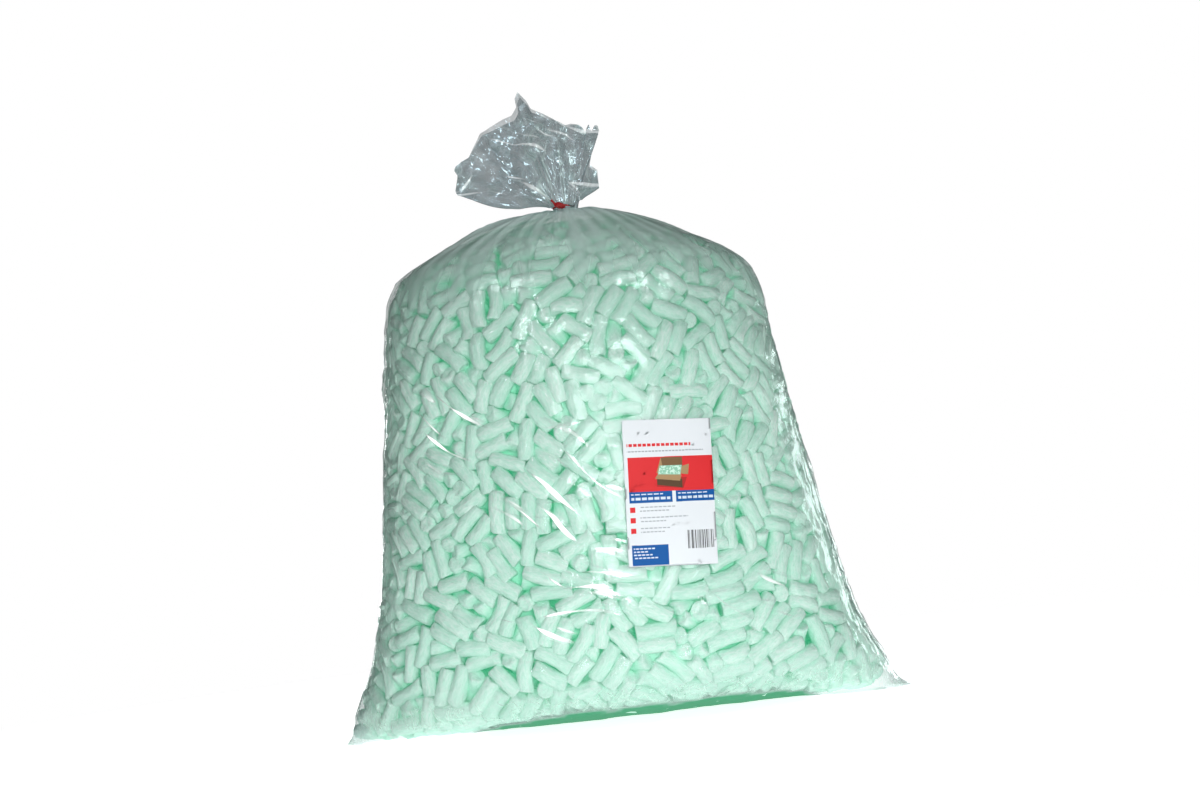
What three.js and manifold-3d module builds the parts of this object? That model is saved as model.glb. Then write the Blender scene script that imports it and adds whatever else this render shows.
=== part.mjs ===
// A clear film bag of loose-fill packing chips, tied at the neck, standing on its base.
// Millimetres, +Z up, +X to the right of the face that carries the label, +Y to the back.
// The origin is on the floor, in the middle of the bag's plan.
import * as THREE from "three";
import { ParametricGeometry } from "three/addons/geometries/ParametricGeometry.js";
import { mergeVertices } from "three/addons/utils/BufferGeometryUtils.js";
import Module from "manifold-3d";

const wasm = await Module();
wasm.setup();

// ---- Driving dimensions ----
const NECK_HEIGHT = 569; // floor to the middle of the tie
const NECK_RADIUS = 11; // outside of the gathered film under the tie
const NECK_BORE = 6.5; // way left through the gathered film
const FILM = 0.8; // wall of the film, thickened from the real 0.05
const FILM_SIDES = 44; // facets round the bag
const BODY_RINGS = 22; // rings from the floor to the neck
const RUFFLE_RINGS = 7; // rings from the neck to the open mouth

// Outline of the filled bag, from the floor up: height, half width, half depth, pinch and shift.
// A pinch of 1 is an elliptical section, and a higher one draws its two ends out into flat ears.
// The shift is how far the section's middle stands to the left.
const BODY = [
  { z: 0, width: 310, depth: 90, pinch: 2.1, left: 0 },
  { z: 12, width: 303, depth: 122, pinch: 1.8, left: 3 },
  { z: 30, width: 295, depth: 138, pinch: 1.55, left: 5 },
  { z: 85, width: 270, depth: 151, pinch: 1.2, left: 6 },
  { z: 165, width: 251, depth: 157, pinch: 1.0, left: 7 },
  { z: 300, width: 231, depth: 161, pinch: 0.93, left: 10 },
  { z: 400, width: 218, depth: 165, pinch: 0.92, left: 13 },
  { z: 455, width: 211, depth: 160, pinch: 0.93, left: 13 },
  { z: 480, width: 203, depth: 150, pinch: 0.96, left: 15 },
  { z: 500, width: 185, depth: 134, pinch: 1.0, left: 21 },
  { z: 520, width: 152, depth: 108, pinch: 1.0, left: 23 },
  { z: 540, width: 112, depth: 78, pinch: 1.0, left: 20 },
  { z: 555, width: 66, depth: 48, pinch: 1.0, left: 15 },
  { z: 561, width: 24, depth: 20, pinch: 1.0, left: 13 },
  { z: 564, width: 12, depth: 12, pinch: 1.0, left: 13 },
  { z: NECK_HEIGHT, width: NECK_RADIUS, depth: NECK_RADIUS, pinch: 1.0, left: 13 },
];
const NECK_LEFT = BODY.at(-1).left;

const MOUTH = { left: 36, halfWidth: 78, halfDepth: 17 }; // ring of the flattened mouth, left of the neck
const MOUTH_RISE = { left: 44, right: 72, middle: 134 }; // height of the mouth's edge over the neck
const RUFFLE_BEND = { spread: 1.2, left: 3, rise: 34 }; // where the film over the tie starts to open
const PLEATS = 11;
const PLEAT_DEPTH = 0.09; // share of the mouth's radius

const CHIP = { length: 40, shortest: 36, radius: 8.5, bevel: 1.6, sides: 8 };
const HEAP_GAP = 2.2; // between the packed chips and the film
const HEAP_EAR_GAP = 30; // the flat ears hold no chips
const HEAP_SHOULDER = 448; // height where the packed chips leave the sides
const HEAP_CROWN = 482; // height of the packed chips in the middle
const HEAP_SIDES = 32; // facets round the packed chips
const HEAP_SIDE_RINGS = 11;
const HEAP_TOP_RINGS = 4;
const LOOSE_ROW_PITCH = 32;
const LOOSE_CHIP_PITCH = 49;
const LOOSE_REACH = 0.88; // loose chips lie within this share of the heap's top
const LOOSE_TURN = 0.22; // most a loose chip is turned from its row, in radians
const TURN_STEP = 7.3; // phase between one loose chip's turn and the next one's
const LENGTH_STEP = 3.1; // the same for their lengths
const REST_GAP = 0.4; // between pieces that touch

const TIE = { radius: 1.7, stretch: 1.8, facets: 28, knot: 4.4, knotReach: 0.75 };
const KNOT_SHAPE = [1.2, 0.8, 0.9];
const TAIL = { length: 15, tip: 0.9, lean: 0.9 };
const LABEL = { width: 90, height: 147, thick: 0.3, clear: 0.7, x: 65, z: 231, turn: 3.4 };
const LABEL_GRID = { columns: 6, rows: 6 };

// ---- Materials ----
function finish(color, roughness, extra = {}) {
  return new THREE.MeshStandardMaterial({ color, roughness, metalness: 0, ...extra });
}
const clearFilm = finish(0xdfeee8, 0.15, { transparent: true, opacity: 0.3 });
const redTie = finish(0xb8141a, 0.45);
const printedPaper = finish(0xf2f4f3, 0.4);
const greenStarch = finish(0xbfe6d2, 0.85);

// ---- Geometry helpers ----
// A closed surface drawn by point(column share, row number), with its seams and poles merged.
function closedSurface(point, columns, rows) {
  const drawn = new ParametricGeometry(
    (u, v, target) => target.copy(point(u % 1, Math.round(v * rows))),
    columns,
    rows,
  );
  drawn.deleteAttribute("normal");
  drawn.deleteAttribute("uv");
  const merged = mergeVertices(drawn, 1e-4);
  const index = merged.index.array;
  const kept = [];
  for (let i = 0; i < index.length; i += 3) {
    const [a, b, c] = index.subarray(i, i + 3);
    if (a !== b && b !== c && c !== a) kept.push(a, b, c);
  }
  merged.setIndex(kept);
  return merged;
}

function toSolid(geometry) {
  const plain = new THREE.BufferGeometry();
  plain.setAttribute("position", geometry.getAttribute("position"));
  if (geometry.index) plain.setIndex(geometry.index);
  const merged = mergeVertices(plain, 1e-4);
  return new wasm.Manifold(
    new wasm.Mesh({
      numProp: 3,
      vertProperties: new Float32Array(merged.attributes.position.array),
      triVerts: new Uint32Array(merged.index.array),
    }),
  );
}

function toGeometry(solid) {
  const mesh = solid.getMesh();
  const geometry = new THREE.BufferGeometry();
  geometry.setAttribute("position", new THREE.BufferAttribute(new Float32Array(mesh.vertProperties), 3));
  geometry.setIndex(new THREE.BufferAttribute(new Uint32Array(mesh.triVerts), 1));
  geometry.computeVertexNormals();
  return geometry;
}

function namedMesh(name, geometry, material) {
  const mesh = new THREE.Mesh(geometry, material);
  mesh.name = name;
  return mesh;
}

// ---- The bag's outline ----
// Two smooth curves through the same stations: one carries height, width and depth, the other
// height, pinch and shift.
function stationCurve(point) {
  return new THREE.CatmullRomCurve3(BODY.map(point), false, "centripetal");
}
const sizeCurve = stationCurve(({ z, width, depth }) => new THREE.Vector3(z, width, depth));
const formCurve = stationCurve(({ z, pinch, left }) => new THREE.Vector3(z, pinch, left));

// The section at a share of the way along the stations.
function section(share) {
  const size = sizeCurve.getPoint(share);
  const form = formCurve.getPoint(share);
  return { z: size.x, width: size.y, depth: size.z, pinch: form.y, left: form.z };
}

// The section at a height, found by halving the range of shares.
function sectionAt(z) {
  let low = 0;
  let high = 1;
  for (let i = 0; i < 40; i++) {
    const middle = (low + high) / 2;
    if (section(middle).z < z) low = middle;
    else high = middle;
  }
  return section(low);
}

// A point of a section: angle 0 points to +X, a quarter turn to +Y.
function onSection({ z, width, depth, pinch, left }, angle) {
  const c = Math.cos(angle);
  const s = Math.sin(angle);
  return new THREE.Vector3(width * c - left, depth * Math.sign(s) * Math.abs(s) ** pinch, z);
}

// The same section moved inwards, square to the wall's slope.
function inset(share, gap) {
  const here = section(share);
  const below = section(Math.max(0, share - 0.01));
  const above = section(Math.min(1, share + 0.01));
  const rise = above.z - below.z;
  const run = above.depth - below.depth;
  const slope = Math.hypot(rise, run);
  const inwards = (gap * rise) / slope;
  const down = (gap * -run) / slope;
  return {
    ...here,
    z: Math.max(gap, here.z - down),
    width: here.width * (1 - inwards / here.depth),
    depth: here.depth - inwards,
  };
}

// ---- Film ----
// The gathered film over the tie: a neck that opens into a pleated mouth, lying over to the left.
function ruffle(share, angle, wall) {
  const c = Math.cos(angle);
  const s = Math.sin(angle);
  const fold = 1 + PLEAT_DEPTH * Math.cos(PLEATS * angle);
  const middleRise = (MOUTH_RISE.left + MOUTH_RISE.right) / 2;
  const rise =
    middleRise * c * c + ((MOUTH_RISE.right - MOUTH_RISE.left) / 2) * c + MOUTH_RISE.middle * s * s;
  const radius = NECK_RADIUS - wall;
  const start = new THREE.Vector3(radius * c, radius * s, 0);
  const { spread, left, rise: bendRise } = RUFFLE_BEND;
  const bend = new THREE.Vector3(spread * radius * c - left, spread * radius * s, bendRise);
  const end = new THREE.Vector3(
    (MOUTH.halfWidth * fold - wall) * c - MOUTH.left,
    (MOUTH.halfDepth * fold - wall) * s,
    rise,
  );
  const path = new THREE.QuadraticBezierCurve3(start, bend, end);
  return path.getPoint(share).add(new THREE.Vector3(-NECK_LEFT, 0, NECK_HEIGHT));
}

// Wall of the neck, thick at the tie where the film is bunched and thin again at the mouth.
const ruffleWall = (share) => FILM + (NECK_RADIUS - NECK_BORE - FILM) * (1 - share) ** 3;

function makeFilm() {
  const rows = []; // each row is a function of the angle
  rows.push(() => new THREE.Vector3(0, 0, 0));
  for (let i = 0; i < BODY_RINGS; i++) {
    const ring = section(i / BODY_RINGS);
    rows.push((angle) => onSection(ring, angle));
  }
  for (let i = 0; i <= RUFFLE_RINGS; i++) {
    rows.push((angle) => ruffle(i / RUFFLE_RINGS, angle, 0));
  }
  for (let i = RUFFLE_RINGS; i >= 0; i--) {
    rows.push((angle) => ruffle(i / RUFFLE_RINGS, angle, ruffleWall(i / RUFFLE_RINGS)));
  }
  for (let i = BODY_RINGS - 1; i >= 0; i--) {
    const ring = inset(i / BODY_RINGS, FILM);
    rows.push((angle) => onSection(ring, angle));
  }
  rows.push(() => new THREE.Vector3(0, 0, FILM));
  return closedSurface((u, row) => rows[row](u * 2 * Math.PI), FILM_SIDES, rows.length - 1);
}

// ---- Tie ----
// A ring round the neck with its twisted knot in front and one short tail, up and to the left.
function makeTie() {
  const ringRadius = NECK_RADIUS + REST_GAP + TIE.radius;
  const front = -(ringRadius + TIE.knotReach * TIE.knot);
  const ring = new THREE.TorusGeometry(ringRadius, TIE.radius, 8, TIE.facets);
  ring.scale(1, 1, TIE.stretch);
  const knot = new THREE.SphereGeometry(TIE.knot, 12, 8);
  knot.scale(...KNOT_SHAPE);
  knot.translate(0, front, 0);
  const tail = new THREE.CylinderGeometry(TAIL.tip, TIE.radius, TAIL.length, 8);
  tail.translate(0, TAIL.length / 2, 0);
  tail.rotateX(Math.PI / 2);
  tail.rotateY(-TAIL.lean);
  tail.translate(0, front, 0);
  return toGeometry(toSolid(ring).add(toSolid(knot)).add(toSolid(tail)));
}

// ---- Label ----
// A thin sheet that follows the front of the bag, standing clear of its facets.
function makeLabel() {
  const turn = THREE.MathUtils.degToRad(-LABEL.turn);
  function onFront(u, v, lift) {
    const across = (u - 0.5) * LABEL.width;
    const up = (v - 0.5) * LABEL.height;
    const x = LABEL.x + across * Math.cos(turn) - up * Math.sin(turn);
    const z = LABEL.z + across * Math.sin(turn) + up * Math.cos(turn);
    const ring = sectionAt(z);
    const share = (x + ring.left) / ring.width;
    return new THREE.Vector3(x, -ring.depth * (1 - share * share) ** (ring.pinch / 2) - lift, z);
  }
  // The outer face, then round the edges to the inner face: a flat box wrapped as one grid.
  const box = new THREE.BoxGeometry(1, LABEL.thick, 1, LABEL_GRID.columns, 1, LABEL_GRID.rows);
  const position = box.getAttribute("position");
  for (let i = 0; i < position.count; i++) {
    const outer = position.getY(i) < 0;
    const lift = LABEL.clear + (outer ? LABEL.thick : 0);
    const point = onFront(position.getX(i) + 0.5, position.getZ(i) + 0.5, lift);
    position.setXYZ(i, point.x, point.y, point.z);
  }
  return toGeometry(toSolid(box));
}

// ---- Packed chips ----
// The chips that fill the bag, joined into one solid: it keeps clear of the film and has a domed top.
function heapTop(x, y) {
  const edge = sectionAt(HEAP_SHOULDER);
  const share = ((x + edge.left) / edge.width) ** 2 + (y / edge.depth) ** 2;
  return HEAP_CROWN - (HEAP_CROWN - HEAP_SHOULDER) * share;
}

function makeHeap() {
  const low = HEAP_GAP + FILM;
  const rows = [() => new THREE.Vector3(0, 0, low)];
  for (let i = 0; i <= HEAP_SIDE_RINGS; i++) {
    const up = i / HEAP_SIDE_RINGS;
    const ring = sectionAt(low + (HEAP_SHOULDER - low) * up);
    const earGap = HEAP_EAR_GAP * (1 - up) ** 3;
    const packed = {
      ...ring,
      width: ring.width - 2 * HEAP_GAP - earGap,
      depth: ring.depth - 2 * HEAP_GAP,
    };
    rows.push((angle) => onSection(packed, angle));
  }
  const edge = sectionAt(HEAP_SHOULDER);
  const rim = { ...edge, width: edge.width - 2 * HEAP_GAP, depth: edge.depth - 2 * HEAP_GAP };
  for (let i = 1; i <= HEAP_TOP_RINGS; i++) {
    const share = 1 - i / HEAP_TOP_RINGS;
    rows.push((angle) => {
      const point = onSection(rim, angle);
      point.x = (point.x + edge.left) * share - edge.left;
      point.y *= share;
      point.z = heapTop(point.x, point.y);
      return point;
    });
  }
  return closedSurface((u, row) => rows[row](u * 2 * Math.PI), HEAP_SIDES, rows.length - 1);
}

// ---- Loose chips on top ----
function chipGeometry(length) {
  const { radius, bevel, sides } = CHIP;
  const half = length / 2;
  const profile = [
    new THREE.Vector2(0, -half),
    new THREE.Vector2(radius - bevel, -half),
    new THREE.Vector2(radius, -half + bevel),
    new THREE.Vector2(radius, half - bevel),
    new THREE.Vector2(radius - bevel, half),
    new THREE.Vector2(0, half),
  ];
  return toGeometry(toSolid(new THREE.LatheGeometry(profile, sides)));
}

// Rows of chips laid on the dome, each turned a little and tilted with the slope under it.
function looseChips() {
  const chips = [];
  const edge = sectionAt(HEAP_SHOULDER);
  const drop = HEAP_CROWN - HEAP_SHOULDER;
  const rows = Math.floor((2 * edge.depth) / LOOSE_ROW_PITCH);
  for (let row = 0; row < rows; row++) {
    const y = (row - (rows - 1) / 2) * LOOSE_ROW_PITCH;
    const room = 1 - (y / edge.depth) ** 2;
    const count = Math.floor((2 * edge.width * LOOSE_REACH * Math.sqrt(room)) / LOOSE_CHIP_PITCH);
    for (let k = 0; k < count; k++) {
      const x = (k - (count - 1) / 2) * LOOSE_CHIP_PITCH - edge.left;
      const share = ((x + edge.left) / edge.width) ** 2 + (y / edge.depth) ** 2;
      if (share > LOOSE_REACH ** 2) continue;
      const number = chips.length + 1;
      const turn = LOOSE_TURN * Math.sin(TURN_STEP * number);
      const normal = new THREE.Vector3(
        (2 * drop * (x + edge.left)) / edge.width ** 2,
        (2 * drop * y) / edge.depth ** 2,
        1,
      ).normalize();
      const along = new THREE.Vector3(Math.cos(turn), Math.sin(turn), 0);
      along.addScaledVector(normal, -along.dot(normal)).normalize();
      const shorter = (CHIP.length - CHIP.shortest) * Math.abs(Math.sin(LENGTH_STEP * number));
      const name = `loose_chip_${String(number).padStart(2, "0")}`;
      const chip = namedMesh(name, chipGeometry(CHIP.length - shorter), greenStarch);
      chip.quaternion.setFromUnitVectors(new THREE.Vector3(0, 1, 0), along);
      chip.position.set(x, y, heapTop(x, y)).addScaledVector(normal, CHIP.radius + REST_GAP);
      chips.push(chip);
    }
  }
  return chips;
}

// ---- The whole bag ----
const bag = new THREE.Group();
bag.add(namedMesh("bag_film", makeFilm(), clearFilm));
const tie = namedMesh("neck_tie", makeTie(), redTie);
tie.position.set(-NECK_LEFT, 0, NECK_HEIGHT);
bag.add(tie);
bag.add(namedMesh("contents_label", makeLabel(), printedPaper));
bag.add(namedMesh("packed_chips", makeHeap(), greenStarch));
bag.add(...looseChips());

export default bag;
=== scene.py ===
"""A clear film bag of loose-fill packing chips, tied at the neck, standing on its base."""

import math

import bmesh
import bpy
import numpy as np
from mathutils import Matrix, Vector
from mathutils.bvhtree import BVHTree


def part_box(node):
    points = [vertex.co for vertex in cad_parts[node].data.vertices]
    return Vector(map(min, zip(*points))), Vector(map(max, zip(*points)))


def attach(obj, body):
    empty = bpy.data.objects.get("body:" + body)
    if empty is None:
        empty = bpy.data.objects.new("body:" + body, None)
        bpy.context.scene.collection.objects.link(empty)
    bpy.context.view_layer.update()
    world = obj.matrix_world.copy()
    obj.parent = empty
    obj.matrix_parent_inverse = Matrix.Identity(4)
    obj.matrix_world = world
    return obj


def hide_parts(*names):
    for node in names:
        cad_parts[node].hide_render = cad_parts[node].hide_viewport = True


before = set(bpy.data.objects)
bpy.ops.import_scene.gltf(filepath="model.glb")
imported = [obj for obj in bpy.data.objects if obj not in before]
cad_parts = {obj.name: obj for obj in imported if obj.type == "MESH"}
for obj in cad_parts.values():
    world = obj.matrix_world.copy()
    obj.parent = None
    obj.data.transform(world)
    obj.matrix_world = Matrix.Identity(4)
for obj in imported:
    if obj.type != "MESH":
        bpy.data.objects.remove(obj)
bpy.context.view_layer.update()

# ---------------------------------------------------------------- sizes, in metres
MM = 0.001

# Outline of the filled bag, from the floor up: height, half width, half depth, pinch, shift left.
# A pinch of 1 is an elliptical section, and a higher one draws its two ends out into flat ears.
BODY = np.array([
    [0, 310, 90, 1.6, 0],
    [12, 303, 122, 1.4, 3],
    [30, 295, 138, 1.22, 5],
    [85, 270, 151, 1.03, 6],
    [165, 251, 157, 0.93, 7],
    [300, 231, 161, 0.89, 10],
    [400, 218, 165, 0.89, 13],
    [455, 211, 160, 0.91, 13],
    [480, 203, 150, 0.95, 15],
    [500, 185, 134, 1.0, 21],
    [520, 152, 108, 1.0, 23],
    [540, 112, 78, 1.0, 20],
    [555, 66, 48, 1.0, 15],
    [561, 24, 20, 1.0, 13],
    [564, 12, 12, 1.0, 13],
    [569, 11, 11, 1.0, 13],
]) * (MM, MM, MM, 1, MM)

# How the foot of the front swells forward (above 0) or draws back, from its left end to its right end.
FRONT_FOOT = np.array([
    [-0.31, 0.0], [-0.25, 0.25], [-0.20, 0.20], [-0.12, 0.0], [0.0, -0.12], [0.2, -0.18], [0.31, -0.1],
])
FOOT_HEIGHT = 45 * MM
FOOT_LIFT = 6 * MM  # the front's foot over the floor between the ears
NECK = Vector((-BODY[-1, 4], 0, BODY[-1, 0]))
NECK_RADIUS = BODY[-1, 1]
WIDEST_TOP = BODY[7]  # the section where the shoulders start

CHIP_RADIUS = 8.5 * MM
CHIP_LENGTHS = (33 * MM, 44 * MM)
CHIP_COUNT = 5300
CHIP_KINDS = 14
END_BEVEL = 1.7 * MM
PORE_EDGE, PORE_DEPTH = 3.6 * MM, 1.1 * MM
FILM_GAP = 2.2 * MM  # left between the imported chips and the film
CLEARANCE = 1.3 * MM  # least gap between any point of a chip and the film
BASE_GAP = 3.0 * MM  # the same over the base
HEAP_CROWN, HEAP_SHOULDER = 0.548, 0.498  # height of the chips in the middle and at the sides
OUTER_LAYER = 34 * MM  # chips nearer to the film than this are the ones that are seen
PACKING_ROUNDS, QUICK_ROUNDS = 160, 60
SEED = 11


# ---------------------------------------------------------------- the bag's outline
def smooth_through(t, knots, values):
    """Values at t on a smooth curve through the knots."""
    slopes = np.gradient(values, knots, axis=0)
    i = np.clip(np.searchsorted(knots, t) - 1, 0, len(knots) - 2)
    h = (knots[i + 1] - knots[i])[..., None]
    s = ((t - knots[i])[..., None]) / h
    a, b, ma, mb = values[i], values[i + 1], slopes[i] * h, slopes[i + 1] * h
    return (
        a * (1 + 2 * s) * (1 - s) ** 2
        + ma * s * (1 - s) ** 2
        + b * s * s * (3 - 2 * s)
        + mb * s * s * (s - 1)
    )


STEPS = np.hypot(np.diff(BODY[:, 0]), np.diff(BODY[:, 1]))
KNOTS = np.concatenate([[0], np.cumsum(STEPS)]) / STEPS.sum()
FINE_SHARES = np.linspace(0, 1, 2001)
FINE = smooth_through(FINE_SHARES, KNOTS, BODY)
FINE[:, 0] = np.maximum.accumulate(FINE[:, 0])


def sections_at(z):
    """Half width, half depth, pinch and shift of the bag at each height."""
    return [np.interp(z, FINE[:, 0], FINE[:, k]) for k in (1, 2, 3, 4)]


def front_growth(x, z):
    """The foot of the bag's front swells forward at the left and draws back at the right."""
    swell = np.interp(x, FRONT_FOOT[:, 0], FRONT_FOOT[:, 1])
    return 1 + swell * np.clip(1 - z / FOOT_HEIGHT, 0, 1)


def foot_lift(x, y):
    """The foot of the front hangs a little clear of the floor between the two ears."""
    between = np.interp(np.abs(x), [0.18, 0.27], [1, 0])
    return FOOT_LIFT * between * np.clip((-y - 15 * MM) / (45 * MM), 0, 1)


def half_depth(x, z):
    """How far the film stands behind the bag's middle at x and z, or 0 outside it."""
    width, depth, pinch, left = sections_at(z)
    share = (x + left) / width
    return depth * np.clip(1 - share * share, 0, None) ** (pinch / 2)


def body_points(shares, angles):
    """Points of the film at shares up the outline and angles round it, as a grid."""
    z, width, depth, pinch, left = (
        np.interp(shares, FINE_SHARES, FINE[:, k])[:, None] for k in range(5)
    )
    c, s = np.cos(angles)[None, :], np.sin(angles)[None, :]
    x = width * c - left
    y = depth * np.sign(s) * np.abs(s) ** pinch
    y = np.where(y < 0, y * front_growth(x, z), y)
    return np.stack([x, y, z + foot_lift(x, y) * np.clip(1 - z / FOOT_HEIGHT, 0, 1)], -1)


# ---------------------------------------------------------------- mesh helpers
def new_piece(name, mesh, node_slot, *materials):
    piece = bpy.data.objects.new(name, mesh)
    bpy.context.scene.collection.objects.link(piece)
    for material in materials:
        mesh.materials.append(material)
    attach(piece, "root")
    return piece


def mesh_of(bm, name):
    mesh = bpy.data.meshes.new(name)
    bm.to_mesh(mesh)
    bm.free()
    mesh.shade_smooth()
    return mesh


def carry(mesh, *attributes):
    """Gives the mesh's points their values of each named attribute."""
    for name, values in attributes:
        layer = mesh.attributes.new(name, "FLOAT", "POINT")
        layer.data.foreach_set("value", values.astype(np.float32))


def tube_mesh(points):
    """A tube through a grid of points (rows up, columns round), made from an operator's grid."""
    rows, columns = points.shape[:2]
    bm = bmesh.new()
    bmesh.ops.create_grid(bm, x_segments=columns, y_segments=rows - 1, size=1)
    bm.verts.ensure_lookup_table()
    around = np.concatenate([points, points[:, :1]], 1).reshape(-1, 3)
    for vert, place in zip(bm.verts, around):
        vert.co = place
    seam = [bm.verts[r * (columns + 1) + c] for r in range(rows) for c in (0, columns)]
    bmesh.ops.remove_doubles(bm, verts=seam, dist=1e-7)
    return bm


# ---------------------------------------------------------------- room for the chips
class Room:
    """Distance to the nearest wall, positive inside, on a grid that covers the bag."""

    pitch = 8 * MM
    low = np.array([-0.32, -0.176, -0.008])
    high = np.array([0.32, 0.176, 0.58])

    def __init__(self):
        angles = np.linspace(0, 2 * np.pi, 180, endpoint=False)
        bm = tube_mesh(body_points(np.linspace(0, 1, 120), angles))
        bmesh.ops.holes_fill(bm, edges=[e for e in bm.edges if e.is_boundary], sides=0)
        bmesh.ops.triangulate(bm, faces=bm.faces)
        tree = BVHTree.FromBMesh(bm)
        bm.free()
        self.shape = tuple(np.ceil((self.high - self.low) / self.pitch).astype(int) + 1)
        axes = [self.low[k] + self.pitch * np.arange(self.shape[k]) for k in range(3)]
        grid = np.stack(np.meshgrid(*axes, indexing="ij"), -1).reshape(-1, 3)
        far = np.array([tree.find_nearest(p)[3] for p in grid.tolist()])
        x, y, z = grid.T
        reach = half_depth(x, z) * np.where(y < 0, front_growth(x, z), 1)
        inside = (np.abs(y) < reach) & (z > foot_lift(x, y)) & (z < NECK.z)
        wall = np.where(inside, far, -far)
        spread = ((x + WIDEST_TOP[4]) / WIDEST_TOP[1]) ** 2 + (y / WIDEST_TOP[2]) ** 2
        top = HEAP_CROWN - (HEAP_CROWN - HEAP_SHOULDER) * spread - z
        self.values = np.minimum(wall, top).reshape(self.shape)
        self.walls = wall.reshape(self.shape)
        slopes = np.stack(np.gradient(self.values, self.pitch), -1)
        self.slopes = slopes / np.maximum(np.linalg.norm(slopes, axis=-1, keepdims=True), 1e-6)

    def look(self, points, field=None):
        """Distance and inward direction at each point."""
        field = self.values if field is None else field
        place = (points - self.low) / self.pitch
        cell = np.clip(place.astype(int), 0, np.array(self.shape) - 2)
        part = np.clip(place - cell, 0, 1)
        distance = 0
        inward = 0
        for corner in np.ndindex(2, 2, 2):
            weight = np.prod(np.where(corner, part, 1 - part), axis=1)
            i, j, k = (cell + corner).T
            distance = distance + weight * field[i, j, k]
            inward = inward + weight[:, None] * self.slopes[i, j, k]
        inward /= np.maximum(np.linalg.norm(inward, axis=1, keepdims=True), 1e-6)
        return distance, inward


# ---------------------------------------------------------------- packing
BEADS = 4  # each chip is packed as a short row of balls
START_GAP = 7 * MM  # least distance from a chip's first place to the film
END_ON_SHARE = 0.12  # chips that point at the film
LAID_FLAT_WITHIN = 26 * MM  # other chips nearer to the film than this lie along it
PULL, END_ON_PULL = 0.35 * MM, 0.05 * MM  # how far a round draws an outer chip towards the film
SETTLED_AFTER = 0.7  # share of the rounds after which that pull weakens
SHOVE = 1.3  # how much of an overlap a round takes away


def near_pairs(places, reach):
    """Pairs of beads closer than reach, found by sorting the beads into cells."""
    cell = np.floor((places - places.min(0)) / reach).astype(np.int64) + 1
    span = cell.max(0) + 2
    key = (cell[:, 0] * span[1] + cell[:, 1]) * span[2] + cell[:, 2]
    order = np.argsort(key, kind="stable")
    sorted_key = key[order]
    found = []
    steps = [s for s in np.ndindex(3, 3, 3) if s >= (1, 1, 1)]
    for step in steps:
        dx, dy, dz = np.array(step) - 1
        wanted = key + (dx * span[1] + dy) * span[2] + dz
        first = np.searchsorted(sorted_key, wanted, "left")
        last = np.searchsorted(sorted_key, wanted, "right")
        count = last - first
        a = np.repeat(np.arange(len(key)), count)
        offset = np.arange(count.sum()) - np.repeat(np.cumsum(count) - count, count)
        b = order[np.repeat(first, count) + offset]
        if step == (1, 1, 1):
            keep = a < b
            a, b = a[keep], b[keep]
        near = ((places[a] - places[b]) ** 2).sum(1) < reach * reach
        found.append(np.stack([a[near], b[near]]))
    return np.concatenate(found, 1)


def pack_chips(room, rng, rounds):
    """Places, directions and lengths of the chips, settled against each other and the film."""
    count = CHIP_COUNT
    low, high = room.low, room.low + room.pitch * (np.array(room.shape) - 1)
    tries = rng.uniform(low, high, (count * 6, 3))
    places = tries[room.look(tries)[0] > START_GAP][:count]
    count = len(places)
    ways = rng.normal(size=(count, 3))
    ways /= np.linalg.norm(ways, axis=1, keepdims=True)
    lengths = rng.uniform(*CHIP_LENGTHS, count)
    end_on = rng.random(count) < END_ON_SHARE
    distance, inward = room.look(places)
    flat = (distance < LAID_FLAT_WITHIN) & ~end_on
    ways[flat] -= 0.92 * (ways[flat] * inward[flat]).sum(1, keepdims=True) * inward[flat]
    ways /= np.linalg.norm(ways, axis=1, keepdims=True)
    steps = np.linspace(-1, 1, BEADS)[None, :] * (lengths / 2 - 0.92 * CHIP_RADIUS)[:, None]
    owner = np.repeat(np.arange(count), BEADS)
    pull = np.where(end_on, END_ON_PULL, PULL)
    pairs = None
    for k in range(rounds):
        beads = (places[:, None] + steps[:, :, None] * ways[:, None]).reshape(-1, 3)
        if k % 4 == 0:
            pairs = near_pairs(beads, 2 * CHIP_RADIUS + 3 * MM)
            pairs = pairs[:, owner[pairs[0]] != owner[pairs[1]]]
        a, b = pairs
        gap = beads[a] - beads[b]
        far = np.linalg.norm(gap, axis=1)
        push = np.clip(2 * CHIP_RADIUS - far, 0, None)
        shove = gap / np.maximum(far, 1e-6)[:, None] * (0.5 * push)[:, None]
        move = np.zeros_like(beads)
        touches = np.zeros(len(beads))
        for axis in range(3):
            move[:, axis] = np.bincount(a, shove[:, axis], len(beads))
            move[:, axis] -= np.bincount(b, shove[:, axis], len(beads))
        hit = push > 0
        touches += np.bincount(a[hit], minlength=len(beads)) + np.bincount(b[hit], minlength=len(beads))
        move *= (SHOVE / np.maximum(touches, 1))[:, None]
        distance, inward = room.look(beads)
        settle = 1 if k < rounds * SETTLED_AFTER else 0.15
        drawn = (distance < OUTER_LAYER) & (distance > CHIP_RADIUS + FILM_GAP)
        move -= inward * (drawn * pull[owner] * settle)[:, None]
        wall = np.clip(CHIP_RADIUS + FILM_GAP - distance, 0, None)
        move += inward * wall[:, None]
        move = move.reshape(count, BEADS, 3)
        shift = move.mean(1)
        turn = (steps[:, :, None] * (move - shift[:, None])).sum(1)
        turn /= (steps ** 2).sum(1)[:, None]
        places = places + shift
        ways = ways + turn
        ways /= np.linalg.norm(ways, axis=1, keepdims=True)
    return places, ways, lengths


# ---------------------------------------------------------------- chips
# How finely a chip is made: sides round it, extra rings along it, and whether its ends have a pore.
PLAIN_CHIP = (8, 0, False)
SEEN_CHIP = (10, 2, True)


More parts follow.
